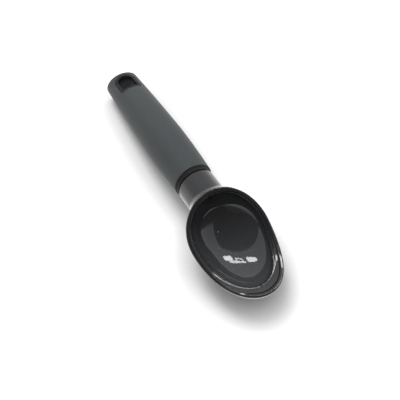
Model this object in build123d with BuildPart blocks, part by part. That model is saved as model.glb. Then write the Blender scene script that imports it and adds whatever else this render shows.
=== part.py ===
from build123d import *

# Ice cream scoop: a one-piece plastic head (bowl, neck and tang) whose tang is clamped between two
# screwed core halves, a black collar and gasket behind the neck, a soft grip moulded over the core,
# and a D-shaped liner in the hang hole. Millimetres.
#
# The pieces are drawn with the handle level: +X runs along its axis to the bowl, +Y to the side and
# +Z up, with the origin at the centre of the grip's front edge. The last step lays them down as the
# scoop lies on a table, on the grip's tail and the underside of the bowl.

import os
from math import asin, cos, degrees, radians, sin, sqrt

# ---- driving dimensions -------------------------------------------------------------------------

# Grip, a row of elliptical sections from its front edge (x = 0) to its tail
GRIP_LENGTH = 113.2
GRIP_FRONT_WIDTH = 26.4
GRIP_FRONT_HEIGHT = 26.4
GRIP_SWELL_WIDTH = 29.0
GRIP_SWELL_HEIGHT = 26.9
GRIP_SWELL_FROM_FRONT = 40.0
GRIP_TAIL_WIDTH = 24.2
GRIP_TAIL_HEIGHT = 19.1
FRONT_TAPER = 1.9            # power of the fall in size from the swell: 1 is straight, 2 a parabola
TAIL_TAPER = 1.35
GRIP_WALL = 2.2
GRIP_TAIL_ROUND = 1.2
GRIP_FRONT_ROUND = 0.5

# Hang hole, a D with its flat side towards the bowl and its arch towards the tail
EYELET_WIDTH = 15.6
EYELET_LENGTH = 17.6
EYELET_ARCH = 6.6            # how far the arch stands past the straight sides
EYELET_TAIL_WEB = 2.2        # soft plastic left between the arch and the tail
EYELET_RIM = 2.2             # wall of the liner around the hole
EYELET_BEVEL = 0.6           # bevel round both ends of the hole
EYELET_CORNER = 0.8
EYELET_SUNK = 0.15           # how far the liner's ends lie below the grip
TONGUE_LENGTH = 10.0
TONGUE_WIDTH = 9.0
TONGUE_THICKNESS = 4.0

# Core, two half shells round the tang
CORE_WALL = 2.0
CORE_END_WALL = 2.5
RIB_THICKNESS = 1.6
RIB_PLACES = (14.0, 46.0, 72.0)    # from the grip's front edge

# Screws, from below through the core: two also pass through the tang and one through the tongue
FRONT_SCREW_FROM_GRIP = 30.0
REAR_SCREW_FROM_TANG_END = 8.0
SCREW_RADIUS = 1.5
SCREW_HEAD_RADIUS = 2.8
SCREW_HEAD_HEIGHT = 1.8
SCREW_GRIP = 5.0             # thread held by the upper half, above the middle plane
SCREW_SEAT = -5.2            # level of the seat of the head, from the middle plane
SCREW_CROSS_LENGTH = 3.4     # recess for the driver
SCREW_CROSS_WIDTH = 0.8
SCREW_CROSS_DEPTH = 0.9
SCREW_POINT = 0.8
SCREW_FIT = 0.05             # thread in its pilot hole
BOSS_WALL = 1.9

# Collar and gasket between the grip and the neck
COLLAR_LENGTH = 3.8
COLLAR_WIDTH = 25.2
COLLAR_EDGE_ROUND = 0.4
GASKET_THICKNESS = 0.6
GASKET_WIDTH = 24.0

# Head: neck, spigot and tang
NECK_WIDTH = 25.5
NECK_BLEND = 12.0            # hollow curve between the neck and the bowl
NECK_EDGE_ROUND = 0.5
SPIGOT_WIDTH = 17.0
SPIGOT_LENGTH = 8.0          # behind the grip's front edge
TANG_LENGTH = 68.0           # behind the grip's front edge
TANG_ROOT_WIDTH = 12.0
TANG_END_WIDTH = 9.5
TANG_THICKNESS = 7.0
TANG_EDGE_ROUND = 1.0

# Head: bowl, an egg turned about its own axis and cut by a large cylinder across it
BOWL_FROM_GRIP = 50.0        # widest station, from the grip's front edge
BOWL_ABOVE_AXIS = 2.7        # widest station, above the handle's axis
BOWL_SLOPE = 14.3            # the egg's axis falls this many degrees towards the tip
BOWL_RADIUS = 27.7
BOWL_HEEL = 28.9             # widest station to the heel, at the neck
BOWL_TOE = 44.4              # widest station to the tip
BOWL_WALL = 2.9              # at the sides; the floor of the bowl is thicker
BOWL_DEPTH = 19.8            # from the egg's axis down to the floor of the bowl
RIM_WALL = 2.5               # lip above the ledge that runs round inside the bowl
RIM_DIP = 7.4                # lowest point of the rim, below the egg's axis
RIM_DIP_FROM_WIDEST = 13.0   # lowest point of the rim, towards the tip
LEDGE_AT_TIP = 4.0           # the ledge widens from next to nothing to this at the tip
LEDGE_DEPTH = 1.2
RIM_OUTER_ROUND = 1.2
RIM_INNER_ROUND = 0.5

# Working limits
SECTION_COUNT = 9            # sections of the grip
TILT_STEPS = 30              # steps that settle the rest pose
HEEL_ARC = 89.5              # degrees of the heel's quarter ellipse, which stops just short of the axis

# Clearances
SLIP = 0.15                  # pieces pushed into or over one another
BOND = 0.1                   # bond line between the grip and what it is moulded over

# ---- sizes and planes worked out from them ------------------------------------------------------

NECK_REAR = COLLAR_LENGTH + GASKET_THICKNESS
EYELET_TAIL = -GRIP_LENGTH + EYELET_TAIL_WEB
EYELET_FRONT = EYELET_TAIL + EYELET_LENGTH
CORE_TAIL = EYELET_FRONT + SLIP
SWELL = -GRIP_SWELL_FROM_FRONT

BOWL_CENTRE = Vector(BOWL_FROM_GRIP, 0, BOWL_ABOVE_AXIS)
BOWL_DIRECTION = Vector(cos(radians(BOWL_SLOPE)), 0, -sin(radians(BOWL_SLOPE)))
BOWL_SIDE = Plane(origin=BOWL_CENTRE, x_dir=BOWL_DIRECTION, z_dir=(0, -1, 0))
BOWL_PLACE = Plane(origin=BOWL_CENTRE, x_dir=BOWL_DIRECTION, z_dir=BOWL_SIDE.y_dir).location
RIM_HALF_CHORD = BOWL_TOE - RIM_DIP_FROM_WIDEST
RIM_RADIUS = (RIM_HALF_CHORD**2 + RIM_DIP**2) / (2 * RIM_DIP)

tang_screws = [-FRONT_SCREW_FROM_GRIP, -TANG_LENGTH + REAR_SCREW_FROM_TANG_END]
tongue_screw = EYELET_FRONT + TONGUE_LENGTH / 2
screws = [*tang_screws, tongue_screw]


def across(x):
    """The plane across the handle's axis at x, with its own x axis up and its normal to the bowl."""
    return Plane(origin=(x, 0, 0), x_dir=(0, 0, 1), z_dir=(1, 0, 0))


def eased(x, front, swell, tail):
    """A size of the grip at x, which rises from front to swell and falls to tail."""
    if x > SWELL:
        return swell - (swell - front) * ((x - SWELL) / -SWELL) ** FRONT_TAPER
    return swell - (swell - tail) * ((SWELL - x) / (GRIP_LENGTH + SWELL)) ** TAIL_TAPER


def half_width(x):
    """Half the grip's width at x."""
    return eased(x, GRIP_FRONT_WIDTH, GRIP_SWELL_WIDTH, GRIP_TAIL_WIDTH) / 2


def half_height(x):
    """Half the grip's height at x."""
    return eased(x, GRIP_FRONT_HEIGHT, GRIP_SWELL_HEIGHT, GRIP_TAIL_HEIGHT) / 2


def grip_form(front, tail, inset):
    """The grip's form from front to tail, with every section drawn in by inset."""
    step = (front - tail) / (SECTION_COUNT - 1)
    with BuildPart() as form:
        for i in range(SECTION_COUNT):
            x = front - i * step
            with BuildSketch(across(x)):
                Ellipse(half_height(x) - inset, half_width(x) - inset)
        loft()
    return form.part


def hang_outline(inset):
    """The hang hole's D on the middle plane, drawn in by inset."""
    straight_end = EYELET_TAIL + EYELET_ARCH
    with BuildSketch() as outline:
        with BuildLine():
            front = EYELET_FRONT - inset
            side = EYELET_WIDTH / 2 - inset
            arch = EYELET_ARCH - inset
            EllipticalCenterArc((straight_end, 0), arch, side, start_angle=90, arc_size=180)
            Polyline((straight_end, side), (front, side), (front, -side), (straight_end, -side))
        make_face()
        fillet(outline.vertices().group_by(Axis.X)[-1], EYELET_CORNER)
    return outline.sketch


def egg(heel, toe, radius):
    """A solid egg about the X axis, two half ellipses that meet at its widest station.

    Its heel ends in a flat a fifth of a millimetre in radius, which keeps that end off a bare point.
    """
    with BuildPart() as form:
        with BuildSketch(Plane.XZ):
            with BuildLine():
                EllipticalCenterArc((0, 0), toe, radius, start_angle=0, arc_size=90)
                end = EllipticalCenterArc((0, 0), heel, radius, start_angle=90, arc_size=HEEL_ARC) @ 1
                Polyline(end, (end.X, 0), (toe, 0))
            make_face()
        revolve(axis=Axis.X)
    return form.part


def screw_shape(x, radius, top, bottom):
    """A cylinder on the screw's axis at x, from its top level down to its bottom level."""
    with BuildPart() as form:
        with BuildSketch(Plane.XY.offset(bottom)):
            with Locations((x, 0)):
                Circle(radius)
        extrude(amount=top - bottom)
    return form.part


def above_rim(drop):
    """Everything above the rim's surface, lowered by drop."""
    with BuildPart() as form:
        with BuildSketch(BOWL_SIDE):
            with Locations((RIM_DIP_FROM_WIDEST, RIM_RADIUS - RIM_DIP)):
                Circle(RIM_RADIUS + drop)
        extrude(amount=2 * BOWL_RADIUS, both=True)
    return form.part


def rim_face(bowl):
    """The bowl's rim, left by the cylinder that cuts the egg; the ledge's cylinder is a larger one."""
    cut_faces = bowl.faces().filter_by(GeomType.CYLINDER)
    return cut_faces.filter_by(lambda face: abs(face.radius - RIM_RADIUS) < LEDGE_DEPTH / 2)[0]


core_outside = grip_form(0, CORE_TAIL, GRIP_WALL + BOND)
core_hollow = grip_form(-CORE_END_WALL, CORE_TAIL + CORE_END_WALL, GRIP_WALL + BOND + CORE_WALL)


def tang_form(clearance):
    """The tapered tang behind the spigot, grown all round by clearance."""
    root = TANG_ROOT_WIDTH / 2 + clearance
    end = TANG_END_WIDTH / 2 + clearance
    with BuildPart() as form:
        with BuildSketch():
            Polygon(
                (-SPIGOT_LENGTH / 2, root),
                (-TANG_LENGTH - clearance, end),
                (-TANG_LENGTH - clearance, -end),
                (-SPIGOT_LENGTH / 2, -root),
                align=None,
            )
        extrude(amount=TANG_THICKNESS / 2 + clearance, both=True)
        fillet(form.edges().filter_by(Axis.Z).group_by(Axis.X)[0], TANG_EDGE_ROUND)
    return form.part


def tongue_form(clearance):
    """The tongue on the liner's flat side, grown all round by clearance."""
    with BuildPart() as form:
        with Locations((EYELET_FRONT, 0, 0)):
            Box(
                TONGUE_LENGTH + clearance,
                TONGUE_WIDTH + 2 * clearance,
                TONGUE_THICKNESS + 2 * clearance,
                align=(Align.MIN, Align.CENTER, Align.CENTER),
            )
    return form.part


def core_body(boss_radius):
    """The whole core as one closed shell with its ribs and screw bosses, before it is halved."""
    inset = GRIP_WALL + BOND + CORE_WALL / 2
    with BuildPart() as body:
        add(core_outside)
        add(core_hollow, mode=Mode.SUBTRACT)
        for place in RIB_PLACES:
            with BuildSketch(across(-place)):
                Ellipse(half_height(-place) - inset, half_width(-place) - inset)
            extrude(amount=RIB_THICKNESS / 2, both=True)
        for x in screws:
            with Locations((x, 0, 0)):
                Cylinder(boss_radius, 2 * (half_height(x) - inset))
        add(tang_form(SLIP), mode=Mode.SUBTRACT)
        add(tongue_form(SLIP), mode=Mode.SUBTRACT)
        with BuildSketch(across(0)):
            Circle(SPIGOT_WIDTH / 2 + SLIP)
        extrude(amount=-SPIGOT_LENGTH - SLIP, mode=Mode.SUBTRACT)
    return body.part


# ---- scoop head: bowl, neck, spigot and tang in one moulding ------------------------------------

bowl_form = egg(BOWL_HEEL, BOWL_TOE, BOWL_RADIUS)
lip_form = egg(BOWL_HEEL - RIM_WALL, BOWL_TOE - RIM_WALL, BOWL_RADIUS - RIM_WALL)
inner_width = BOWL_RADIUS - BOWL_WALL
deep_form = egg(BOWL_HEEL - BOWL_WALL, BOWL_TOE - BOWL_WALL - LEDGE_AT_TIP, inner_width)
deep_form = scale(deep_form, by=(1, 1, BOWL_DEPTH / inner_width))

with BuildPart() as bowl_hollow:
    add(BOWL_PLACE * lip_form)
    add(above_rim(LEDGE_DEPTH), mode=Mode.INTERSECT)
    add(BOWL_PLACE * deep_form)

with BuildPart() as scoop_head:
    add(BOWL_PLACE * bowl_form)
    with BuildSketch(across(NECK_REAR)):
        Circle(NECK_WIDTH / 2)
    extrude(amount=BOWL_FROM_GRIP - BOWL_HEEL / 2 - NECK_REAR)
    neck_meets_bowl = scoop_head.edges().filter_by(
        lambda edge: edge.geom_type == GeomType.BSPLINE and edge.bounding_box().size.Y > NECK_WIDTH / 2
    )
    fillet(neck_meets_bowl, NECK_BLEND)
    fillet(scoop_head.edges().group_by(Axis.X)[0], NECK_EDGE_ROUND)
    add(above_rim(0), mode=Mode.SUBTRACT)
    add(bowl_hollow, mode=Mode.SUBTRACT)
    fillet(rim_face(scoop_head).outer_wire().edges(), RIM_OUTER_ROUND)
    fillet(rim_face(scoop_head).inner_wires()[0].edges(), RIM_INNER_ROUND)
    with BuildSketch(across(NECK_REAR)):
        Circle(SPIGOT_WIDTH / 2)
    extrude(amount=-NECK_REAR - SPIGOT_LENGTH)
    add(tang_form(0))
    for x in tang_screws:
        add(screw_shape(x, SCREW_RADIUS + SLIP, TANG_THICKNESS, -TANG_THICKNESS), mode=Mode.SUBTRACT)

# ---- collar and gasket, slipped over the spigot -------------------------------------------------

with BuildPart() as collar_ring:
    with BuildSketch(across(0)):
        Circle(COLLAR_WIDTH / 2)
        Circle(SPIGOT_WIDTH / 2 + SLIP, mode=Mode.SUBTRACT)
    extrude(amount=COLLAR_LENGTH)
    outer_edges = collar_ring.edges().filter_by(GeomType.CIRCLE).group_by(SortBy.RADIUS)[-1]
    fillet(outer_edges, COLLAR_EDGE_ROUND)

with BuildPart() as neck_gasket:
    with BuildSketch(across(COLLAR_LENGTH)):
        Circle(GASKET_WIDTH / 2)
        Circle(SPIGOT_WIDTH / 2 + SLIP, mode=Mode.SUBTRACT)
    extrude(amount=GASKET_THICKNESS)

# ---- core: two half shells screwed together round the tang --------------------------------------

with BuildPart() as core_upper:
    add(core_body(SCREW_RADIUS + BOSS_WALL))
    split(bisect_by=Plane.XY, keep=Keep.TOP)
    for x in screws:
        add(screw_shape(x, SCREW_RADIUS + SCREW_FIT, SCREW_GRIP + SLIP, 0), mode=Mode.SUBTRACT)

with BuildPart() as core_lower:
    add(core_body(SCREW_HEAD_RADIUS + SLIP + BOSS_WALL))
    split(bisect_by=Plane.XY, keep=Keep.BOTTOM)
    for x in screws:
        add(screw_shape(x, SCREW_RADIUS + SLIP, 0, SCREW_SEAT), mode=Mode.SUBTRACT)
        add(screw_shape(x, SCREW_HEAD_RADIUS + SLIP, SCREW_SEAT, -half_height(x)), mode=Mode.SUBTRACT)

with BuildPart() as core_screws:
    for x in screws:
        add(screw_shape(x, SCREW_RADIUS, SCREW_GRIP, SCREW_SEAT))
        add(screw_shape(x, SCREW_HEAD_RADIUS, SCREW_SEAT, SCREW_SEAT - SCREW_HEAD_HEIGHT))
    chamfer(core_screws.edges().filter_by(GeomType.CIRCLE).group_by(Axis.Z)[-1], SCREW_POINT)
    with BuildSketch(Plane.XY.offset(SCREW_SEAT - SCREW_HEAD_HEIGHT)):
        with Locations(*[(x, 0) for x in screws]):
            Rectangle(SCREW_CROSS_LENGTH, SCREW_CROSS_WIDTH)
            Rectangle(SCREW_CROSS_WIDTH, SCREW_CROSS_LENGTH)
    extrude(amount=SCREW_CROSS_DEPTH, mode=Mode.SUBTRACT)

# ---- grip and the liner of its hang hole --------------------------------------------------------

with BuildPart() as grip_sleeve:
    add(grip_form(0, -GRIP_LENGTH, 0))
    fillet(grip_sleeve.edges().group_by(Axis.X)[0], GRIP_TAIL_ROUND)
    fillet(grip_sleeve.edges().group_by(Axis.X)[-1], GRIP_FRONT_ROUND)
    add(grip_form(0, CORE_TAIL - BOND, GRIP_WALL), mode=Mode.SUBTRACT)
    extrude(hang_outline(-BOND), amount=GRIP_TAIL_HEIGHT, both=True, mode=Mode.SUBTRACT)

with BuildPart() as hang_eyelet:
    extrude(hang_outline(0), amount=GRIP_TAIL_HEIGHT, both=True)
    add(grip_form(0, -GRIP_LENGTH, EYELET_SUNK), mode=Mode.INTERSECT)
    extrude(hang_outline(EYELET_RIM), amount=GRIP_TAIL_HEIGHT, both=True, mode=Mode.SUBTRACT)
    hole_edges = hang_eyelet.edges(Select.LAST).filter_by(Axis.Z, reverse=True)
    chamfer(hole_edges, EYELET_BEVEL)
    add(tongue_form(0))
    add(
        screw_shape(tongue_screw, SCREW_RADIUS + SLIP, TONGUE_THICKNESS, -TONGUE_THICKNESS),
        mode=Mode.SUBTRACT,
    )

# ---- rest pose and files ------------------------------------------------------------------------


def rest_tilt():
    """How far the handle rises towards the bowl, in radians, with tail and bowl on one level."""
    tail_reach = BOWL_FROM_GRIP + GRIP_LENGTH - GRIP_TAIL_ROUND
    tail_drop = BOWL_ABOVE_AXIS + half_height(GRIP_TAIL_ROUND - GRIP_LENGTH) - GRIP_TAIL_ROUND
    tilt = 0.0
    for _ in range(TILT_STEPS):
        egg_slope = radians(BOWL_SLOPE) - tilt
        below_centre = sqrt((BOWL_TOE * sin(egg_slope)) ** 2 + (BOWL_RADIUS * cos(egg_slope)) ** 2)
        tilt = asin((below_centre - GRIP_TAIL_ROUND - tail_drop * cos(tilt)) / tail_reach)
    return tilt


pieces = {
    "scoop_head": scoop_head,
    "neck_gasket": neck_gasket,
    "collar_ring": collar_ring,
    "core_upper": core_upper,
    "core_lower": core_lower,
    "core_screws": core_screws,
    "grip_sleeve": grip_sleeve,
    "hang_eyelet": hang_eyelet,
}

tilted = Rotation(0, -degrees(rest_tilt()), 0)
whole = Compound(children=[tilted * piece.part for piece in pieces.values()]).bounding_box()
laid_down = Pos(-whole.center().X, 0, -whole.min.Z) * tilted

os.makedirs("parts", exist_ok=True)
for label, piece in pieces.items():
    piece.part = laid_down * piece.part
    piece.part.label = label
    export_step(piece.part, f"parts/{label}.step")
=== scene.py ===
from math import cos, radians, sin

import bpy
import numpy as np
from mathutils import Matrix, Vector


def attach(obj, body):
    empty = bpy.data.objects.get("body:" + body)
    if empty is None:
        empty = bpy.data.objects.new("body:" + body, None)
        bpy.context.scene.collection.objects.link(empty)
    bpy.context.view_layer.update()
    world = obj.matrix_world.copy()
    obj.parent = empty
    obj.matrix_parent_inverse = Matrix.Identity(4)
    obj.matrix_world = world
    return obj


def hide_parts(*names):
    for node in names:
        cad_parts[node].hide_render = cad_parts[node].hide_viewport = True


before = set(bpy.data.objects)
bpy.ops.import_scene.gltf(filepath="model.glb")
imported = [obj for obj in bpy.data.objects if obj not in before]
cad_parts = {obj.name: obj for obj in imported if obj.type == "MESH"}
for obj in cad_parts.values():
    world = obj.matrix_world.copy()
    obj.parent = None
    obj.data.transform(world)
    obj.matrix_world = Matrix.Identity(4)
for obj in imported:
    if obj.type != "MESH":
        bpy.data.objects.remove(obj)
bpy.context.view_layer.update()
scene = bpy.context.scene

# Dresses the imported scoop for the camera. The three pieces that show most are meshed again from
# formulas, so that polished faces have exact normals. Shapes are worked out in millimetres in the
# handle's own frame (+X along the handle to the bowl, +Z up, origin at the centre of the grip's
# front edge), and placed in metres in the row's frame.

MM = 0.001
TINY = 1e-9                         # keeps a division safe

# ---- the handle's frame in the row's frame ------------------------------------------------------

REST_TILT = radians(5.6349)         # the handle's slope, up towards the bowl
HANDLE_ORIGIN = (10.25, 20.63)      # row x and z of the grip's front edge

# ---- grip ---------------------------------------------------------------------------------------

GRIP_LENGTH = 113.2
GRIP_FRONT = (26.4, 26.4)           # width and height
GRIP_SWELL = (29.0, 26.9)
GRIP_TAIL = (24.2, 19.1)
SWELL_AT = -40.0                    # where along the handle it is widest
FRONT_TAPER = 1.9                   # powers by which it narrows ahead of the swell and behind it
TAIL_TAPER = 1.35
GRIP_WALL = 2.2
CORE_TAIL = -93.25                  # where the core inside the grip ends
TAIL_ROUND = 0.35
FRONT_ROUND = 0.5
HOLE_ROUND = 0.35
GRIP_BOX = ((-115, -16, -15), (2, 16, 15))      # lowest and highest corners, just past the piece
GRIP_CELL = 0.6                     # size of the mesh's faces

# ---- liner of the hang hole ---------------------------------------------------------------------

EYELET_WIDTH = 15.6
EYELET_FRONT = -93.4                # the D's straight side
EYELET_TAIL = -111.0                # and the top of its arch
EYELET_ARCH = 6.6                   # how long the arch is
EYELET_CORNER = 0.8
EYELET_RIM = 2.2                    # wall of the liner around the hole
EYELET_BEVEL = 0.6
EYELET_EDGE = 0.25
EYELET_SUNK = 0.15                  # how far its face lies below the grip's
TONGUE_LENGTH = 10.0
TONGUE_WIDTH = 9.0
TONGUE_THICKNESS = 4.0
TONGUE_BORE = 1.65                  # radius of the screw's hole in it
BOND = 0.1                          # gap between the grip and what it is moulded round
EYELET_BOX = ((-112, -9, -13), (-82, 9, 13))
EYELET_CELL = 0.3

# ---- head ---------------------------------------------------------------------------------------

NECK_REAR = 4.4
NECK_REAR_ROUND = 0.5
NECK_RADIUS = 12.75
NECK_FRONT = 35.5                   # how far it reaches into the egg, before that is hollowed
NECK_BLEND_TOP = 2.8                # the hollow curve to the bowl is tighter on top than at the sides
NECK_BLEND_SIDE = 5.8
EGG_AT = (50.0, 2.7)                # handle x and z of the bowl's widest station
EGG_SLOPE = radians(14.3)           # how far the egg's axis falls towards the tip
EGG_RADIUS = 27.7
EGG_HEEL = 28.9                     # from the widest station back to the neck
EGG_TOE = 44.4                      # and forward to the tip
RIM_WALL = 2.5
BOWL_WALL = 2.9
BOWL_DEPTH = 19.8                   # floor of the bowl below the egg's axis
RIM_DIP = 7.4                       # the rim is an arc that sags this far below the axis
RIM_DIP_AT = 13.0
RIM_RADIUS = ((EGG_TOE - RIM_DIP_AT) ** 2 + RIM_DIP**2) / (2 * RIM_DIP)
LEDGE_DEPTH = 1.2                   # the ledge just inside the lip, lower than the rim by this
LEDGE_AT_TIP = 4.0                  # about its width at the tip
LEAST_LEDGE = 0.01                  # keeps a division safe where there is no ledge
LIP_OUTER_ROUND = 1.2
LIP_INNER_ROUND = 0.3
LEDGE_ROUND = 0.25
GUTTER = 0.42                       # how far the ledge is hollowed along its middle
LEDGE_FALL = 0.8                    # how much lower the ledge is along its inner edge
COVE = 0.3
LIP_FALL = 0.13                     # slope of the lip's top, down to the outside
HEAD_BOX = ((3.5, -29, -29), (97, 29, 17))
HEAD_CELL = 0.4

# ---- camera -------------------------------------------------------------------------------------

CAMERA_TARGET = Vector((0.02005, -0.0006, 0.012))
CAMERA_DISTANCE = 0.450
CAMERA_ELEVATION = radians(54.2)
CAMERA_AZIMUTH = radians(-28.3)
CAMERA_FOCUS_PX = 696               # focal length in pixels of a square picture of FRAME_PX
FRAME_PX = 400
SENSOR_MM = 36.0
CAMERA_REACH = (0.01, 20.0)         # nearest and furthest that it sees


# ---- distance functions -------------------------------------------------------------------------


def round_join(a, b, radius):
    """Distance to the union of two forms, with a concave round where they meet."""
    return np.maximum(radius, np.minimum(a, b)) - np.hypot(
        np.maximum(radius - a, 0), np.maximum(radius - b, 0)
    )


def round_cut(a, b, radius):
    """Distance to what two forms share, with a convex round along the edge."""
    return np.minimum(-radius, np.maximum(a, b)) + np.hypot(
        np.maximum(radius + a, 0), np.maximum(radius + b, 0)
    )


def ellipsoid(a, b, c, ra, rb, rc):
    """Distance to an ellipsoid, close to exact near its surface. A radius may vary point by point."""
    near = np.sqrt((a / ra) ** 2 + (b / rb) ** 2 + (c / rc) ** 2)
    far = np.sqrt((a / ra**2) ** 2 + (b / rb**2) ** 2 + (c / rc**2) ** 2)
    return near * (near - 1) / np.maximum(far, TINY)


def egg(a, y, h, heel, toe, half_width, half_height):
    """Distance to an egg about its own axis, with a the place along it from the widest station."""
    return ellipsoid(a, y, h, np.where(a > 0, toe, heel), half_width, half_height)


def egg_place(x, z):
    """Where a point lies about the egg: along its sloping axis, and above it."""
    dx = x - EGG_AT[0]
    dz = z - EGG_AT[1]
    a = dx * cos(EGG_SLOPE) - dz * sin(EGG_SLOPE)
    h = dx * sin(EGG_SLOPE) + dz * cos(EGG_SLOPE)
    return a, h


def neck_and_egg(x, y, z, a, h):
    """The neck's round bar joined to the solid egg, and the distance to the egg alone."""
    neck = round_cut(np.hypot(y, z) - NECK_RADIUS, NECK_REAR - x, NECK_REAR_ROUND)
    neck = np.maximum(neck, x - NECK_FRONT)
    bowl = egg(a, y, h, EGG_HEEL, EGG_TOE, EGG_RADIUS, EGG_RADIUS)
    sideways = np.clip(np.abs(y) / NECK_RADIUS, 0, 1) ** 2
    blend = NECK_BLEND_TOP + (NECK_BLEND_SIDE - NECK_BLEND_TOP) * sideways
    return round_join(bowl, neck, blend), bowl


def bowl_hollow(a, y, h, below_rim):
    """What is scooped out of the egg: the bowl, and round its top the ledge inside the lip."""
    width = EGG_RADIUS - RIM_WALL
    lip = egg(a, y, h, EGG_HEEL - RIM_WALL, EGG_TOE - RIM_WALL, width, width)
    toe = EGG_TOE - BOWL_WALL - LEDGE_AT_TIP
    hollow = egg(a, y, h, EGG_HEEL - BOWL_WALL, toe, EGG_RADIUS - BOWL_WALL, BOWL_DEPTH)
    # share runs over the ledge, from 0 at its inner edge to 1 at the lip
    ledge = np.maximum(hollow - lip, LEAST_LEDGE)
    share = np.clip(hollow / ledge, 0, 1)
    dip = GUTTER * 4 * share * (1 - share) + LEDGE_FALL * (1 - share)
    dip *= np.clip(ledge / LEDGE_AT_TIP, 0, 1)
    lip = round_cut(lip, below_rim - LEDGE_DEPTH - dip, COVE)
    return round_join(lip, hollow, LEDGE_ROUND)


def head(x, y, z):
    """The scoop's head: bowl, lip, ledge and neck."""
    a, h = egg_place(x, z)
    below_rim = np.hypot(a - RIM_DIP_AT, h - (RIM_RADIUS - RIM_DIP)) - RIM_RADIUS
    body, bowl = neck_and_egg(x, y, z, a, h)
    fall = LIP_FALL * (np.clip(bowl, -RIM_WALL, 1) + RIM_WALL / 2)
    body = round_cut(body, fall - below_rim, LIP_OUTER_ROUND)
    return round_cut(body, -bowl_hollow(a, y, h, below_rim), LIP_INNER_ROUND)


def eased(x, front, swell, tail):
    """A width or height of the grip at x, from its values at the front, the swell and the tail."""
    ahead = np.clip((x - SWELL_AT) / -SWELL_AT, 0, None) ** FRONT_TAPER
    behind = np.clip((SWELL_AT - x) / (GRIP_LENGTH + SWELL_AT), 0, None) ** TAIL_TAPER
    return swell - (swell - front) * ahead - (swell - tail) * behind


def grip_sides(x, y, z, inset):
    """Distance to the grip's endless oval form, drawn in by inset."""
    half_width = eased(x, GRIP_FRONT[0], GRIP_SWELL[0], GRIP_TAIL[0]) / 2 - inset
    half_height = eased(x, GRIP_FRONT[1], GRIP_SWELL[1], GRIP_TAIL[1]) / 2 - inset
    return ellipsoid(0 * x, y, z, 1, half_width, half_height)


def hang_outline(x, y, inset):
    """Distance to the hang hole's D, drawn in by inset."""
    side = EYELET_WIDTH / 2 - inset
    arch = EYELET_ARCH - inset
    straight_end = EYELET_TAIL + EYELET_ARCH
    past = np.minimum(x - straight_end, 0)
    sides = ellipsoid(past, y, 0 * x, arch, side, 1)
    return round_cut(sides, x - EYELET_FRONT + inset, EYELET_CORNER)


def eyelet(x, y, z):
    """The hang hole's liner with its tongue."""
    form = round_cut(grip_sides(x, y, z, EYELET_SUNK), hang_outline(x, y, 0), EYELET_EDGE)
    form = round_cut(form, -hang_outline(x, y, EYELET_RIM), EYELET_BEVEL)
    middle = EYELET_FRONT + TONGUE_LENGTH / 2
    tongue = np.maximum(np.abs(x - middle) - TONGUE_LENGTH / 2, np.abs(y) - TONGUE_WIDTH / 2)
    tongue = np.maximum(tongue, np.abs(z) - TONGUE_THICKNESS / 2)
    tongue = np.maximum(tongue, TONGUE_BORE - np.hypot(x - middle, y))
    return np.minimum(form, tongue)


def grip(x, y, z):
    """The soft grip: a sleeve, closed at the tail, with the hang hole through it."""
    form = round_cut(grip_sides(x, y, z, 0), -GRIP_LENGTH - x, TAIL_ROUND)
    form = round_cut(form, x, FRONT_ROUND)
    form = round_cut(form, -hang_outline(x, y, -BOND), HOLE_ROUND)
    inside = np.maximum(grip_sides(x, y, z, GRIP_WALL), CORE_TAIL - BOND - x)
    return np.maximum(form, -inside)


# ---- meshes from distance functions -------------------------------------------------------------

SETTLE_STEPS = 4                    # how often corners are moved on to the surface
SLOPE_REACH = 0.02                  # a slope is measured over this far each way
LEAST_SLOPE = 1e-6                  # keeps a division safe where the surface has no slope


def crossings(value, axis):
    """Steps of a grid along axis that the surface crosses: from where, at which point, and if out."""
    near = [slice(None)] * 3
    far = [slice(None)] * 3
    near[axis] = slice(0, -1)
    far[axis] = slice(1, None)
    near, far = value[tuple(near)], value[tuple(far)]
    place = np.argwhere((near < 0) != (far < 0))
    index = tuple(place.T)
    point = place.astype(float)
    point[:, axis] += near[index] / (near[index] - far[index])
    return place, point, near[index] < 0


def settled(distance, points):
    """The points moved on to the surface, and its normals there."""
    for _ in range(SETTLE_STEPS):
        slope, level = gradient(distance, points)
        size = (slope**2).sum(1)
        points = points - slope * (level / np.maximum(size, LEAST_SLOPE))[:, None]
    slope, _ = gradient(distance, points)
    return points, slope / np.maximum(np.linalg.norm(slope, axis=1), TINY)[:, None]


def surface_net(distance, box, cell):
    """Corners, quads and normals of the zero level of distance within a box, all in millimetres.

    Each cell that the surface passes through gets one corner, near the mean of the crossings on the
    cell's edges, and each crossed edge gets a quad between the four cells around it. The box reaches
    past the piece on every side.
    """
    low, high = box
    axes = [np.arange(start, end + cell, cell) for start, end in zip(low, high)]
    value = distance(*np.meshgrid(*axes, indexing="ij"))
    cells = [n - 1 for n in value.shape]
    total = np.zeros((*cells, 3))
    count = np.zeros(cells)
    quads = []
    for axis in range(3):
        place, point, leaving = crossings(value, axis)
        first, second = [k for k in range(3) if k != axis]
        corners = []
        for shift_first, shift_second in ((-1, -1), (0, -1), (0, 0), (-1, 0)):
            around = place.copy()
            around[:, first] += shift_first
            around[:, second] += shift_second
            key = tuple(around.T)
            np.add.at(total, key, point)
            np.add.at(count, key, 1)
            corners.append(np.ravel_multi_index(key, cells))
        quad = np.stack(corners, 1)
        # about y the other two axes turn the other way
        outward = ~leaving if axis == 1 else leaving
        quad[~outward] = quad[~outward][:, ::-1]
        quads.append(quad)
    used, quads = np.unique(np.concatenate(quads), return_inverse=True)
    mean = total.reshape(-1, 3)[used] / count.reshape(-1)[used][:, None]
    points, normals = settled(distance, np.array(low) + mean * cell)
    return points, quads.reshape(-1, 4), normals


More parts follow.
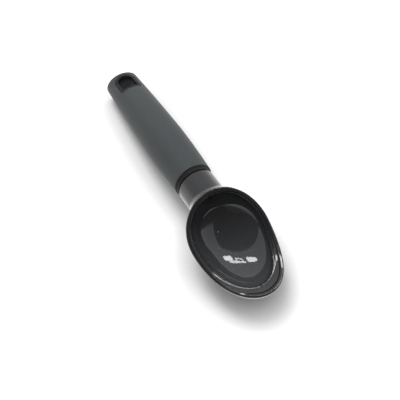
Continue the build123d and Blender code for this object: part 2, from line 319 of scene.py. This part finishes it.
def gradient(distance, points):
    """Slope of distance at points, and its value there."""
    slope = np.zeros_like(points)
    for axis in range(3):
        ahead = points.copy()
        behind = points.copy()
        ahead[:, axis] += SLOPE_REACH
        behind[:, axis] -= SLOPE_REACH
        slope[:, axis] = (distance(*ahead.T) - distance(*behind.T)) / (2 * SLOPE_REACH)
    return slope, distance(*points.T)


def turn_to_row(vectors):
    """Directions in the handle's frame, as they are in the row's."""
    x, y, z = vectors.T
    turned = (
        x * cos(REST_TILT) - z * sin(REST_TILT),
        y,
        x * sin(REST_TILT) + z * cos(REST_TILT),
    )
    return np.stack(turned, 1)


def to_row(points):
    """Places in the handle's frame, in millimetres, as they are in the row's frame in metres."""
    return (turn_to_row(points) + (HANDLE_ORIGIN[0], 0, HANDLE_ORIGIN[1])) * MM


def net_piece(name, distance, box, cell):
    """A smooth piece on the scoop's one body, meshed from its distance function."""
    points, quads, normals = surface_net(distance, box, cell)
    mesh = bpy.data.meshes.new(name)
    mesh.from_pydata(to_row(points).tolist(), [], quads.tolist())
    mesh.polygons.foreach_set("use_smooth", np.ones(len(quads), bool))
    mesh.normals_split_custom_set_from_vertices(turn_to_row(normals).tolist())
    mesh.validate()
    piece = bpy.data.objects.new(name, mesh)
    scene.collection.objects.link(piece)
    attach(piece, "root")
    return piece


# ---- helpers for materials ----------------------------------------------------------------------

NOISE_RANGE = (0.3, 0.7)            # where the values of a noise mostly lie
NOISE_MEAN = 0.5


def node(tree, kind, **settings):
    """A new node of a kind, with its settings."""
    made = tree.nodes.new(kind)
    for key, value in settings.items():
        setattr(made, key, value)
    return made


def compute(tree, operation, *inputs):
    """A Math node with numbers or sockets for inputs; returns its output."""
    made = node(tree, "ShaderNodeMath", operation=operation)
    for socket, value in zip(made.inputs, inputs):
        if isinstance(value, (int, float)):
            socket.default_value = value
        else:
            tree.links.new(value, socket)
    return made.outputs[0]


def above(tree, value, limit, softness):
    """A soft step from 0 to 1 where value passes limit."""
    step = node(tree, "ShaderNodeMapRange", interpolation_type="SMOOTHSTEP")
    tree.links.new(value, step.inputs["Value"])
    step.inputs["From Min"].default_value = limit - softness
    step.inputs["From Max"].default_value = limit + softness
    return step.outputs[0]


def below(tree, value, limit, softness):
    """A soft step from 1 to 0 where value passes limit."""
    return compute(tree, "SUBTRACT", 1.0, above(tree, value, limit, softness))


def ramp(tree, value, low, high):
    """A colour that goes from low to high as a noise's value does."""
    made = node(tree, "ShaderNodeValToRGB")
    for element, place, color in zip(made.color_ramp.elements, NOISE_RANGE, (low, high)):
        element.position = place
        element.color = (*color, 1)
    tree.links.new(value, made.inputs[0])
    return made.outputs[0]


def noise(tree, place, size, detail):
    """Noise whose features are about size millimetres across."""
    made = node(tree, "ShaderNodeTexNoise")
    made.inputs["Scale"].default_value = 1 / (size * MM)
    made.inputs["Detail"].default_value = detail
    tree.links.new(place, made.inputs["Vector"])
    return made.outputs[0]


def parts_of(tree, vector):
    """The x, y and z of a vector."""
    split = node(tree, "ShaderNodeSeparateXYZ")
    tree.links.new(vector, split.inputs[0])
    return split.outputs


def centred(tree, noise_value):
    """A noise that lies about 0."""
    return compute(tree, "SUBTRACT", noise_value, NOISE_MEAN)


def stretched(tree, place, factors):
    """Makes a pattern finer along x, y and z by the factors."""
    made = node(tree, "ShaderNodeMapping")
    made.inputs["Scale"].default_value = factors
    tree.links.new(place, made.inputs["Vector"])
    return made.outputs[0]


def paler(tree, share, color, goal):
    """Turns a colour towards goal by share."""
    made = node(tree, "ShaderNodeMixRGB")
    made.inputs["Color2"].default_value = (*goal, 1)
    tree.links.new(share, made.inputs["Fac"])
    tree.links.new(color, made.inputs["Color1"])
    return made.outputs[0]


def object_place(tree):
    """The place on the scoop, in metres in the row's frame."""
    return node(tree, "ShaderNodeTexCoord").outputs["Object"]


def bumpy(tree, height, size, socket):
    """Raises the surface that socket shades by size millimetres where height is 1."""
    bump = node(tree, "ShaderNodeBump")
    bump.inputs["Strength"].default_value = 1.0
    bump.inputs["Distance"].default_value = size * MM
    tree.links.new(height, bump.inputs["Height"])
    tree.links.new(bump.outputs[0], socket)


def tint(tree, shader, share, color):
    """Turns the shader's base colour towards color by share."""
    socket = shader.inputs["Base Color"]
    body = socket.links[0].from_socket
    tree.links.new(paler(tree, share, body, color), socket)


GRAIN_SHARE = 0.7                   # how much of the fine grain is added to the blotches
EDGE_POINTINESS = 0.54              # an edge is where the surface is more pointed than this
EDGE_SOFTNESS = 0.04


def new_material(
    name, dark, light, worn, wear, blotch, grain, grain_height, rough, rough_spread, specular
):
    """A material with blotches, a grain and paler edges; returns it and its shader.

    Dark and light are the blotches' colours. Blotch, grain and grain_height are in millimetres.
    Rough_spread is how far the noise moves the roughness, and wear is how much of the worn colour
    the edges take.
    """
    material = bpy.data.materials.new(name)
    material.use_nodes = True
    tree = material.node_tree
    shader = tree.nodes["Principled BSDF"]
    shader.inputs["Specular IOR Level"].default_value = specular
    place = object_place(tree)
    patches = noise(tree, place, blotch, detail=4.0)
    fine = noise(tree, place, grain, detail=3.0)
    both = compute(tree, "MULTIPLY_ADD", centred(tree, fine), GRAIN_SHARE, patches)
    pointed = node(tree, "ShaderNodeNewGeometry").outputs["Pointiness"]
    edge = above(tree, pointed, EDGE_POINTINESS, EDGE_SOFTNESS)
    edge = compute(tree, "MULTIPLY", compute(tree, "MULTIPLY", edge, patches), 2 * wear)
    color = paler(tree, edge, ramp(tree, both, dark, light), worn)
    tree.links.new(color, shader.inputs["Base Color"])
    spread = compute(tree, "MULTIPLY", centred(tree, both), 2 * rough_spread)
    tree.links.new(compute(tree, "ADD", spread, rough), shader.inputs["Roughness"])
    bumpy(tree, fine, grain_height, shader.inputs["Normal"])
    return material, shader


# ---- the head's plastic -------------------------------------------------------------------------

# Painted light: the bowl's inside is painted paler, in fine specks, where the windows' light falls on
# its walls
BOWL_LIGHT_DEPTH = 3.2                    # it starts this far below the rim
BOWL_LIGHT_DEPTH_FADE = 1.6
BOWL_LIGHT_START = 34.0                   # and ahead of this row x, which is at the bowl's heel
BOWL_LIGHT_START_FADE = 1.5
BOWL_LIGHT_EVEN = 0.5                     # how much of it is even, and how much is specks
BOWL_LIGHT_SPECKS = 0.8
BOWL_LIGHT_SHARE = 0.75
BOWL_LIGHT_LEAN = 0.013                   # how much more painted light there is for each mm to the -y side
BOWL_LIGHT_COLOR = (0.064, 0.0655, 0.070)

COAT_ROUGH = 0.02
COAT_SMEAR = 0.07                   # how much rougher the coat is where it is smeared
COAT_WAVE = 0.004                   # height of the coat's wave in millimetres


def rim_centre():
    """Row x and z of the centre that the rim's arc is struck from."""
    rise = RIM_RADIUS - RIM_DIP
    x = EGG_AT[0] + RIM_DIP_AT * cos(EGG_SLOPE) + rise * sin(EGG_SLOPE)
    z = EGG_AT[1] - RIM_DIP_AT * sin(EGG_SLOPE) + rise * cos(EGG_SLOPE)
    place = to_row(np.array([[x, 0.0, z]]))[0]
    return float(place[0]), float(place[2])


def painted_bowl_light(tree, place):
    """How much painted light the head takes: only inside the bowl, and most on its -y side."""
    x, y, z = parts_of(tree, place)
    centre_x, centre_z = rim_centre()
    reach_x = compute(tree, "SUBTRACT", x, centre_x)
    reach_z = compute(tree, "SUBTRACT", z, centre_z)
    reach_x = compute(tree, "MULTIPLY", reach_x, reach_x)
    reach = compute(tree, "SQRT", compute(tree, "MULTIPLY_ADD", reach_z, reach_z, reach_x))
    deep = above(tree, reach, (RIM_RADIUS + BOWL_LIGHT_DEPTH) * MM, BOWL_LIGHT_DEPTH_FADE * MM)
    ahead = above(tree, x, BOWL_LIGHT_START * MM, BOWL_LIGHT_START_FADE * MM)
    inside = compute(tree, "MULTIPLY", deep, ahead)
    specks = noise(tree, place, size=0.8, detail=3.0)
    bowl_light = compute(tree, "MULTIPLY_ADD", specks, BOWL_LIGHT_SPECKS, BOWL_LIGHT_EVEN)
    bowl_light = compute(tree, "MULTIPLY", inside, bowl_light)
    leaning = compute(tree, "MULTIPLY_ADD", y, -BOWL_LIGHT_LEAN / MM, BOWL_LIGHT_SHARE)
    return compute(tree, "MULTIPLY", bowl_light, leaning)


def head_material():
    """Hard glossy plastic: a sharp coat with a faint wave and smears over a slightly cloudy body, and
    painted light inside the bowl.
    """
    material, shader = new_material(
        "head_plastic",
        dark=(0.019, 0.0197, 0.0215),
        light=(0.024, 0.0246, 0.027),
        worn=(0.07, 0.07, 0.075),
        wear=0.10,
        blotch=14.0,
        grain=0.25,
        grain_height=0.0006,
        rough=0.40,
        rough_spread=0.05,
        specular=0.04,
    )
    tree = material.node_tree
    place = object_place(tree)
    # painted light: the bowl's inside is tinted paler where light falls on it, most on its -y side
    tint(tree, shader, painted_bowl_light(tree, place), BOWL_LIGHT_COLOR)
    shader.inputs["Coat Weight"].default_value = 1.0
    smears = noise(tree, stretched(tree, place, (1.0, 2.5, 1.0)), size=9.0, detail=5.0)
    scratches = noise(tree, stretched(tree, place, (0.15, 3.0, 1.0)), size=0.6, detail=2.0)
    rough = compute(tree, "MULTIPLY", compute(tree, "MULTIPLY", smears, scratches), COAT_SMEAR)
    tree.links.new(compute(tree, "ADD", rough, COAT_ROUGH), shader.inputs["Coat Roughness"])
    wave = noise(tree, place, size=4.0, detail=2.0)
    bumpy(tree, wave, COAT_WAVE, shader.inputs["Coat Normal"])
    return material


# ---- the other materials ------------------------------------------------------------------------


def grip_material():
    """Soft-touch rubber: a matt fine grain, slightly patchy, that shines a little at a low angle."""
    material, shader = new_material(
        "grip_rubber",
        dark=(0.050, 0.058, 0.062),
        light=(0.061, 0.066, 0.067),
        worn=(0.10, 0.102, 0.102),
        wear=0.30,
        blotch=6.0,
        grain=0.35,
        grain_height=0.012,
        rough=0.62,
        rough_spread=0.10,
        specular=0.28,
    )
    shader.inputs["Sheen Weight"].default_value = 0.12
    shader.inputs["Sheen Roughness"].default_value = 0.4
    return material


def collar_material():
    """Matt brown-black plastic."""
    material, _ = new_material(
        "collar_plastic",
        dark=(0.0075, 0.0073, 0.0065),
        light=(0.0105, 0.010, 0.009),
        worn=(0.04, 0.04, 0.038),
        wear=0.35,
        blotch=3.0,
        grain=0.3,
        grain_height=0.004,
        rough=0.60,
        rough_spread=0.08,
        specular=0.14,
    )
    return material


def gasket_material():
    """Black rubber with a trace of dust."""
    material, _ = new_material(
        "gasket_rubber",
        dark=(0.006, 0.006, 0.0065),
        light=(0.010, 0.010, 0.0105),
        worn=(0.03, 0.03, 0.03),
        wear=0.30,
        blotch=2.0,
        grain=0.2,
        grain_height=0.006,
        rough=0.72,
        rough_spread=0.06,
        specular=0.25,
    )
    return material


# Painted light: the walls of the hang hole, which lie in shade, are painted pale in specks between
# these heights
HOLE_LIGHT_TOP = 15.0
HOLE_LIGHT_TOP_FADE = 3.0
HOLE_LIGHT_FOOT = 5.0
HOLE_LIGHT_FOOT_FADE = 2.0
HOLE_LIGHT_EVEN = 0.6                     # how much of it is even, and how much is specks
HOLE_LIGHT_SPECKS = 0.6
HOLE_LIGHT_COLOR = (0.27, 0.275, 0.29)


def eyelet_material():
    """Satin black-green plastic, paler on its edges from hooks, and painted pale in specks inside the
    hole as painted light.
    """
    material, shader = new_material(
        "eyelet_plastic",
        dark=(0.028, 0.029, 0.027),
        light=(0.036, 0.037, 0.034),
        worn=(0.06, 0.06, 0.056),
        wear=0.12,
        blotch=2.5,
        grain=0.3,
        grain_height=0.005,
        rough=0.60,
        rough_spread=0.08,
        specular=0.06,
    )
    tree = material.node_tree
    place = object_place(tree)
    _, _, z = parts_of(tree, place)
    # painted light: the hole's shaded walls are tinted pale in specks
    under = below(tree, z, HOLE_LIGHT_TOP * MM, HOLE_LIGHT_TOP_FADE * MM)
    over = above(tree, z, HOLE_LIGHT_FOOT * MM, HOLE_LIGHT_FOOT_FADE * MM)
    specks = noise(tree, place, size=0.6, detail=3.0)
    hole_light = compute(tree, "MULTIPLY_ADD", specks, HOLE_LIGHT_SPECKS, HOLE_LIGHT_EVEN)
    hole_light = compute(tree, "MULTIPLY", compute(tree, "MULTIPLY", under, over), hole_light)
    tint(tree, shader, hole_light, HOLE_LIGHT_COLOR)
    return material


FIBRE_ROUGH = 0.3                   # how much rougher the core is on a fibre
CORE_ROUGH = 0.4


def core_material():
    """Glass-filled nylon with short pale fibres."""
    material, shader = new_material(
        "core_plastic",
        dark=(0.020, 0.020, 0.022),
        light=(0.038, 0.038, 0.040),
        worn=(0.08, 0.08, 0.08),
        wear=0.3,
        blotch=5.0,
        grain=0.5,
        grain_height=0.01,
        rough=0.55,
        rough_spread=0.10,
        specular=0.5,
    )
    tree = material.node_tree
    along_grip = stretched(tree, object_place(tree), (0.2, 1.0, 1.0))
    fibres = noise(tree, along_grip, size=0.4, detail=1.0)
    rough = compute(tree, "MULTIPLY_ADD", fibres, FIBRE_ROUGH, CORE_ROUGH)
    tree.links.new(rough, shader.inputs["Roughness"])
    return material


def screw_material():
    """Bright steel with turning marks."""
    material, shader = new_material(
        "screw_steel",
        dark=(0.42, 0.42, 0.41),
        light=(0.56, 0.56, 0.55),
        worn=(0.7, 0.7, 0.7),
        wear=0.4,
        blotch=1.5,
        grain=0.15,
        grain_height=0.004,
        rough=0.32,
        rough_spread=0.10,
        specular=0.5,
    )
    shader.inputs["Metallic"].default_value = 1.0
    return material


# ---- the pieces and what they are made of -------------------------------------------------------

MATERIALS = {
    "head_plastic": head_material(),
    "gasket_rubber": gasket_material(),
    "collar_plastic": collar_material(),
    "core_plastic": core_material(),
    "screw_steel": screw_material(),
    "grip_rubber": grip_material(),
    "eyelet_plastic": eyelet_material(),
}
NODE_SLOTS = {
    "scoop_head": "head_plastic",
    "neck_gasket": "gasket_rubber",
    "collar_ring": "collar_plastic",
    "core_upper": "core_plastic",
    "core_lower": "core_plastic",
    "core_screws": "screw_steel",
    "grip_sleeve": "grip_rubber",
    "hang_eyelet": "eyelet_plastic",
}
for name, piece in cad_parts.items():
    piece.data.materials.clear()
    piece.data.materials.append(MATERIALS[NODE_SLOTS[name]])

# Pieces meshed from formulas: name, formula, the node that each stands for, its box and cell
PIECES = (
    ("head", head, "scoop_head", HEAD_BOX, HEAD_CELL),
    ("grip", grip, "grip_sleeve", GRIP_BOX, GRIP_CELL),
    ("eyelet", eyelet, "hang_eyelet", EYELET_BOX, EYELET_CELL),
)
for name, formula, replaced, box, cell in PIECES:
    piece = net_piece(name, formula, box, cell)
    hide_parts(replaced)
    piece.data.materials.append(MATERIALS[NODE_SLOTS[replaced]])

# ---- camera -------------------------------------------------------------------------------------


def add_camera():
    """The camera, which looks down at the target from the tip's end."""
    data = bpy.data.cameras.new("camera")
    data.sensor_width = SENSOR_MM
    data.lens = CAMERA_FOCUS_PX / FRAME_PX * SENSOR_MM
    data.clip_start, data.clip_end = CAMERA_REACH
    camera = bpy.data.objects.new("camera", data)
    scene.collection.objects.link(camera)
    towards = Vector(
        (
            cos(CAMERA_ELEVATION) * cos(CAMERA_AZIMUTH),
            cos(CAMERA_ELEVATION) * sin(CAMERA_AZIMUTH),
            sin(CAMERA_ELEVATION),
        )
    )
    camera.location = CAMERA_TARGET + CAMERA_DISTANCE * towards
    camera.rotation_euler = (-towards).to_track_quat("-Z", "Y").to_euler()
    scene.camera = camera


add_camera()

# ---- the room that the plastic mirrors ----------------------------------------------------------

# Places in the room are where a direction meets a ceiling one unit up. "Along" runs in line with
# the windows, which are turned a little from the row's Y, and "across" is square to it. A fade is
# how softly a border is drawn.
ROOM_TURN = radians(10.8)
LEAST_RISE = 0.001
DARK_ACROSS = (-0.38, 1.0)          # the ceiling is dark between these, and up to DARK_ALONG
DARK_ALONG = 0.67
DARK_SLANT = 0.25                   # how far DARK_ALONG shifts for each unit across
BACK_FADE = 0.012
LEFT_FADE = 0.04
CORNER_FADE = 0.3
FAR_WALL = (1.9, -0.4)              # it is pale further across than the first, up to the second
FAR_FADE = (0.1, 0.4)
FAR_SHARE = 0.2                     # its brightness as a share of the other walls'
SIDE_WALL = -4.5
SIDE_FADE = 0.5
DARK_LEVEL = 0.12
WALL_LEVEL = 0.69
WALL_SLOPE = (-0.08, 0.08)          # how the walls' brightness changes with x and y
FLOOR_LEVEL = 0.85
SKIRTING = 0.5                      # extra light low on the walls
SKIRTING_POWER = 6.0                # how close to the floor it stays

# Bright panes: across, along, half size each way, level
PANES = (
    (-0.566, 0.67, 0.075, 0.24, 14.0),
    (-0.602, -0.32, 0.095, 0.24, 14.0),
    (-0.678, 0.34, 0.038, 0.36, 12.0),
    (-0.570, 0.20, 0.022, 0.13, 10.0),
    (-0.630, 0.315, 0.055, 0.025, 8.0),
    (-0.630, 0.085, 0.055, 0.025, 8.0),
    (0.40, 0.58, 0.03, 0.03, 3.0),
)
PANE_FADE = 0.3
PANE_SQUARENESS = 4                 # 2 would make the panes oval
PANE_RAGGED = 0.09                  # how far the panes' edges wander, and over what distance
PANE_RAG_SIZE = 0.09
PANE_BOW = 0.42                     # how much the row of panes is bowed
PANE_BOW_AT = 0.2                   # and the place along that it is bowed about
WINDOW_END = -0.86                  # nothing bright lies further across than this
WINDOW_FADE = 0.01

# The even light that reaches every matt surface, and how it changes with x and y
FILL_LEVEL = 0.50
FILL_SLOPE = (-0.45, -0.05)


def over_ceiling(tree, x, y, z):
    """Where a direction meets the ceiling, across and along."""
    up = compute(tree, "MAXIMUM", z, LEAST_RISE)
    across = compute(tree, "MULTIPLY", x, cos(ROOM_TURN))
    across = compute(tree, "MULTIPLY_ADD", y, -sin(ROOM_TURN), across)
    along = compute(tree, "MULTIPLY", x, sin(ROOM_TURN))
    along = compute(tree, "MULTIPLY_ADD", y, cos(ROOM_TURN), along)
    return compute(tree, "DIVIDE", across, up), compute(tree, "DIVIDE", along, up)


def sloped(tree, x, y, level, slope):
    """A level that changes evenly with x and y."""
    level = compute(tree, "MULTIPLY_ADD", x, slope[0], level)
    return compute(tree, "MULTIPLY_ADD", y, slope[1], level)


def pale_share(tree, across, along):
    """1 on the pale walls and 0 on the dark ceiling between them."""
    back = below(tree, across, DARK_ACROSS[0], BACK_FADE)
    past_back = compute(tree, "SUBTRACT", across, DARK_ACROSS[0])
    slanted = compute(tree, "ADD", compute(tree, "MULTIPLY", past_back, -DARK_SLANT), along)
    left = above(tree, slanted, DARK_ALONG, LEFT_FADE)
    left = compute(tree, "MULTIPLY", left, below(tree, across, DARK_ACROSS[1], CORNER_FADE))
    far = above(tree, across, FAR_WALL[0], FAR_FADE[0])
    far = compute(tree, "MULTIPLY", far, below(tree, along, FAR_WALL[1], FAR_FADE[1]))
    far = compute(tree, "MULTIPLY", far, FAR_SHARE)
    right = below(tree, along, SIDE_WALL, SIDE_FADE)
    near_walls = compute(tree, "MAXIMUM", back, left)
    return compute(tree, "MAXIMUM", near_walls, compute(tree, "MAXIMUM", far, right))


def wall_level(tree, x, y, z):
    """Brightness of the pale walls, with more light near the floor."""
    wall = sloped(tree, x, y, WALL_LEVEL, WALL_SLOPE)
    lowness = compute(tree, "SUBTRACT", 1.0, compute(tree, "ABSOLUTE", z))
    lowness = compute(tree, "POWER", lowness, SKIRTING_POWER)
    return compute(tree, "MULTIPLY_ADD", lowness, SKIRTING, wall)


def ragged_row(tree, across, along):
    """Across as the panes see it: bowed along the row, and wandering a little."""
    from_bow = compute(tree, "SUBTRACT", along, PANE_BOW_AT)
    bowed = compute(tree, "MULTIPLY", compute(tree, "MULTIPLY", from_bow, from_bow), PANE_BOW)
    bowed = compute(tree, "ADD", bowed, across)
    ceiling = node(tree, "ShaderNodeCombineXYZ")
    tree.links.new(across, ceiling.inputs[0])
    tree.links.new(along, ceiling.inputs[1])
    rag = node(tree, "ShaderNodeTexNoise")
    rag.inputs["Scale"].default_value = 1 / PANE_RAG_SIZE
    tree.links.new(ceiling.outputs[0], rag.inputs["Vector"])
    wander = compute(tree, "MULTIPLY", centred(tree, rag.outputs[0]), PANE_RAGGED)
    return compute(tree, "ADD", bowed, wander)


def off_centre(tree, value, middle, half):
    """How far value is from the middle of a pane, steep near the pane's edge, where it is 1."""
    offset = compute(tree, "ABSOLUTE", compute(tree, "SUBTRACT", value, middle))
    return compute(tree, "POWER", compute(tree, "DIVIDE", offset, half), PANE_SQUARENESS)


def with_panes(tree, across, along, level):
    """Adds the bright panes to the level of the walls and ceiling."""
    bowed = ragged_row(tree, across, along)
    window = above(tree, across, WINDOW_END, WINDOW_FADE)
    for pane_across, pane_along, half_across, half_along, bright in PANES:
        sideways = off_centre(tree, bowed, pane_across, half_across)
        lengthways = off_centre(tree, along, pane_along, half_along)
        inside = below(tree, compute(tree, "ADD", sideways, lengthways), 1.0, PANE_FADE)
        inside = compute(tree, "MULTIPLY", inside, window)
        level = compute(tree, "MULTIPLY_ADD", inside, bright, level)
    return level


def mirrored_level(tree, x, y, z):
    """Brightness of the room in a direction, as the plastic mirrors it."""
    across, along = over_ceiling(tree, x, y, z)
    pale = pale_share(tree, across, along)
    level = compute(tree, "MULTIPLY_ADD", wall_level(tree, x, y, z), pale, DARK_LEVEL)
    level = with_panes(tree, across, along, level)
    ground = compute(tree, "LESS_THAN", z, 0.0)
    level = compute(tree, "MULTIPLY", level, compute(tree, "SUBTRACT", 1.0, ground))
    return compute(tree, "MULTIPLY_ADD", ground, FLOOR_LEVEL, level)


def add_room():
    """The world: a room to be mirrored, an even fill for matt surfaces, and white for the camera."""
    world = bpy.data.worlds.new("room")
    scene.world = world
    world.use_nodes = True
    tree = world.node_tree
    background = tree.nodes["Background"]
    background.inputs["Color"].default_value = (1, 1, 1, 1)
    x, y, z = parts_of(tree, node(tree, "ShaderNodeTexCoord").outputs["Generated"])
    path = node(tree, "ShaderNodeLightPath")
    mirror = path.outputs["Is Glossy Ray"]
    level = compute(tree, "MULTIPLY", mirrored_level(tree, x, y, z), mirror)
    fill = sloped(tree, x, y, FILL_LEVEL, FILL_SLOPE)
    fill = compute(tree, "MULTIPLY", fill, compute(tree, "SUBTRACT", 1.0, mirror))
    level = compute(tree, "ADD", level, fill)
    level = compute(tree, "MAXIMUM", level, path.outputs["Is Camera Ray"])
    tree.links.new(level, background.inputs["Strength"])


add_room()

# ---- the lamp in the windows --------------------------------------------------------------------

LAMP_HEIGHT = 1.2
LAMP_AT = (-0.79, -0.05)            # row x and y, and below its size, as shares of its height
LAMP_SIZE = (0.5, 1.4)
LAMP_POWER = 16.0


def add_lamp():
    """The light that comes in through the windows. Its reflection is drawn as the panes instead."""
    data = bpy.data.lights.new("window", "AREA")
    data.shape = "RECTANGLE"
    data.size, data.size_y = (LAMP_HEIGHT * side for side in LAMP_SIZE)
    data.energy = LAMP_POWER
    lamp = bpy.data.objects.new("window", data)
    scene.collection.objects.link(lamp)
    lamp.location = (LAMP_HEIGHT * LAMP_AT[0], LAMP_HEIGHT * LAMP_AT[1], LAMP_HEIGHT)
    lamp.rotation_euler = (-lamp.location).to_track_quat("-Z", "Y").to_euler()
    lamp.visible_glossy = False


add_lamp()

# ---- floor --------------------------------------------------------------------------------------

FLOOR_SIZE = 6.0
FLOOR_COLOR = (0.69, 0.69, 0.685)
FLOOR_MIRRORED = 0.8                # light that the floor adds where a mirror sees it
FLOOR_SHEEN = 0.62                  # light that the floor adds where the camera sees it
CONTACT_REACH = 0.022               # how far from what stands on it the sheen fades into a painted contact shadow, in metres
CONTACT_POWER = 2.6
CONTACT_SAMPLES = 8


def floor_material():
    """White paper that glows a little, except close to what stands on it, where the fading glow is a
    painted contact shadow.
    """
    material = bpy.data.materials.new("floor")
    material.use_nodes = True
    tree = material.node_tree
    tree.nodes.clear()
    paper = node(tree, "ShaderNodeBsdfDiffuse")
    paper.inputs["Color"].default_value = (*FLOOR_COLOR, 1)
    glow = node(tree, "ShaderNodeEmission")
    path = node(tree, "ShaderNodeLightPath")
    contact = node(tree, "ShaderNodeAmbientOcclusion", samples=CONTACT_SAMPLES)
    contact.inputs["Distance"].default_value = CONTACT_REACH
    seen = compute(tree, "MULTIPLY", path.outputs["Is Camera Ray"], FLOOR_SHEEN)
    # painted shadow: the camera's glow fades near what stands on the floor
    clear = compute(tree, "POWER", contact.outputs["AO"], CONTACT_POWER)
    seen = compute(tree, "MULTIPLY", seen, clear)
    seen = compute(tree, "MULTIPLY_ADD", path.outputs["Is Glossy Ray"], FLOOR_MIRRORED, seen)
    tree.links.new(seen, glow.inputs["Strength"])
    both = node(tree, "ShaderNodeAddShader")
    tree.links.new(paper.outputs[0], both.inputs[0])
    tree.links.new(glow.outputs[0], both.inputs[1])
    out = node(tree, "ShaderNodeOutputMaterial")
    tree.links.new(both.outputs[0], out.inputs["Surface"])
    return material


def add_floor():
    """The floor that the scoop lies on."""
    corner = FLOOR_SIZE / 2
    mesh = bpy.data.meshes.new("floor")
    corners = [(-corner, -corner, 0), (corner, -corner, 0), (corner, corner, 0), (-corner, corner, 0)]
    mesh.from_pydata(corners, [], [(0, 1, 2, 3)])
    mesh.materials.append(floor_material())
    floor = bpy.data.objects.new("floor", mesh)
    scene.collection.objects.link(floor)


add_floor()

scene.view_settings.view_transform = "Standard"
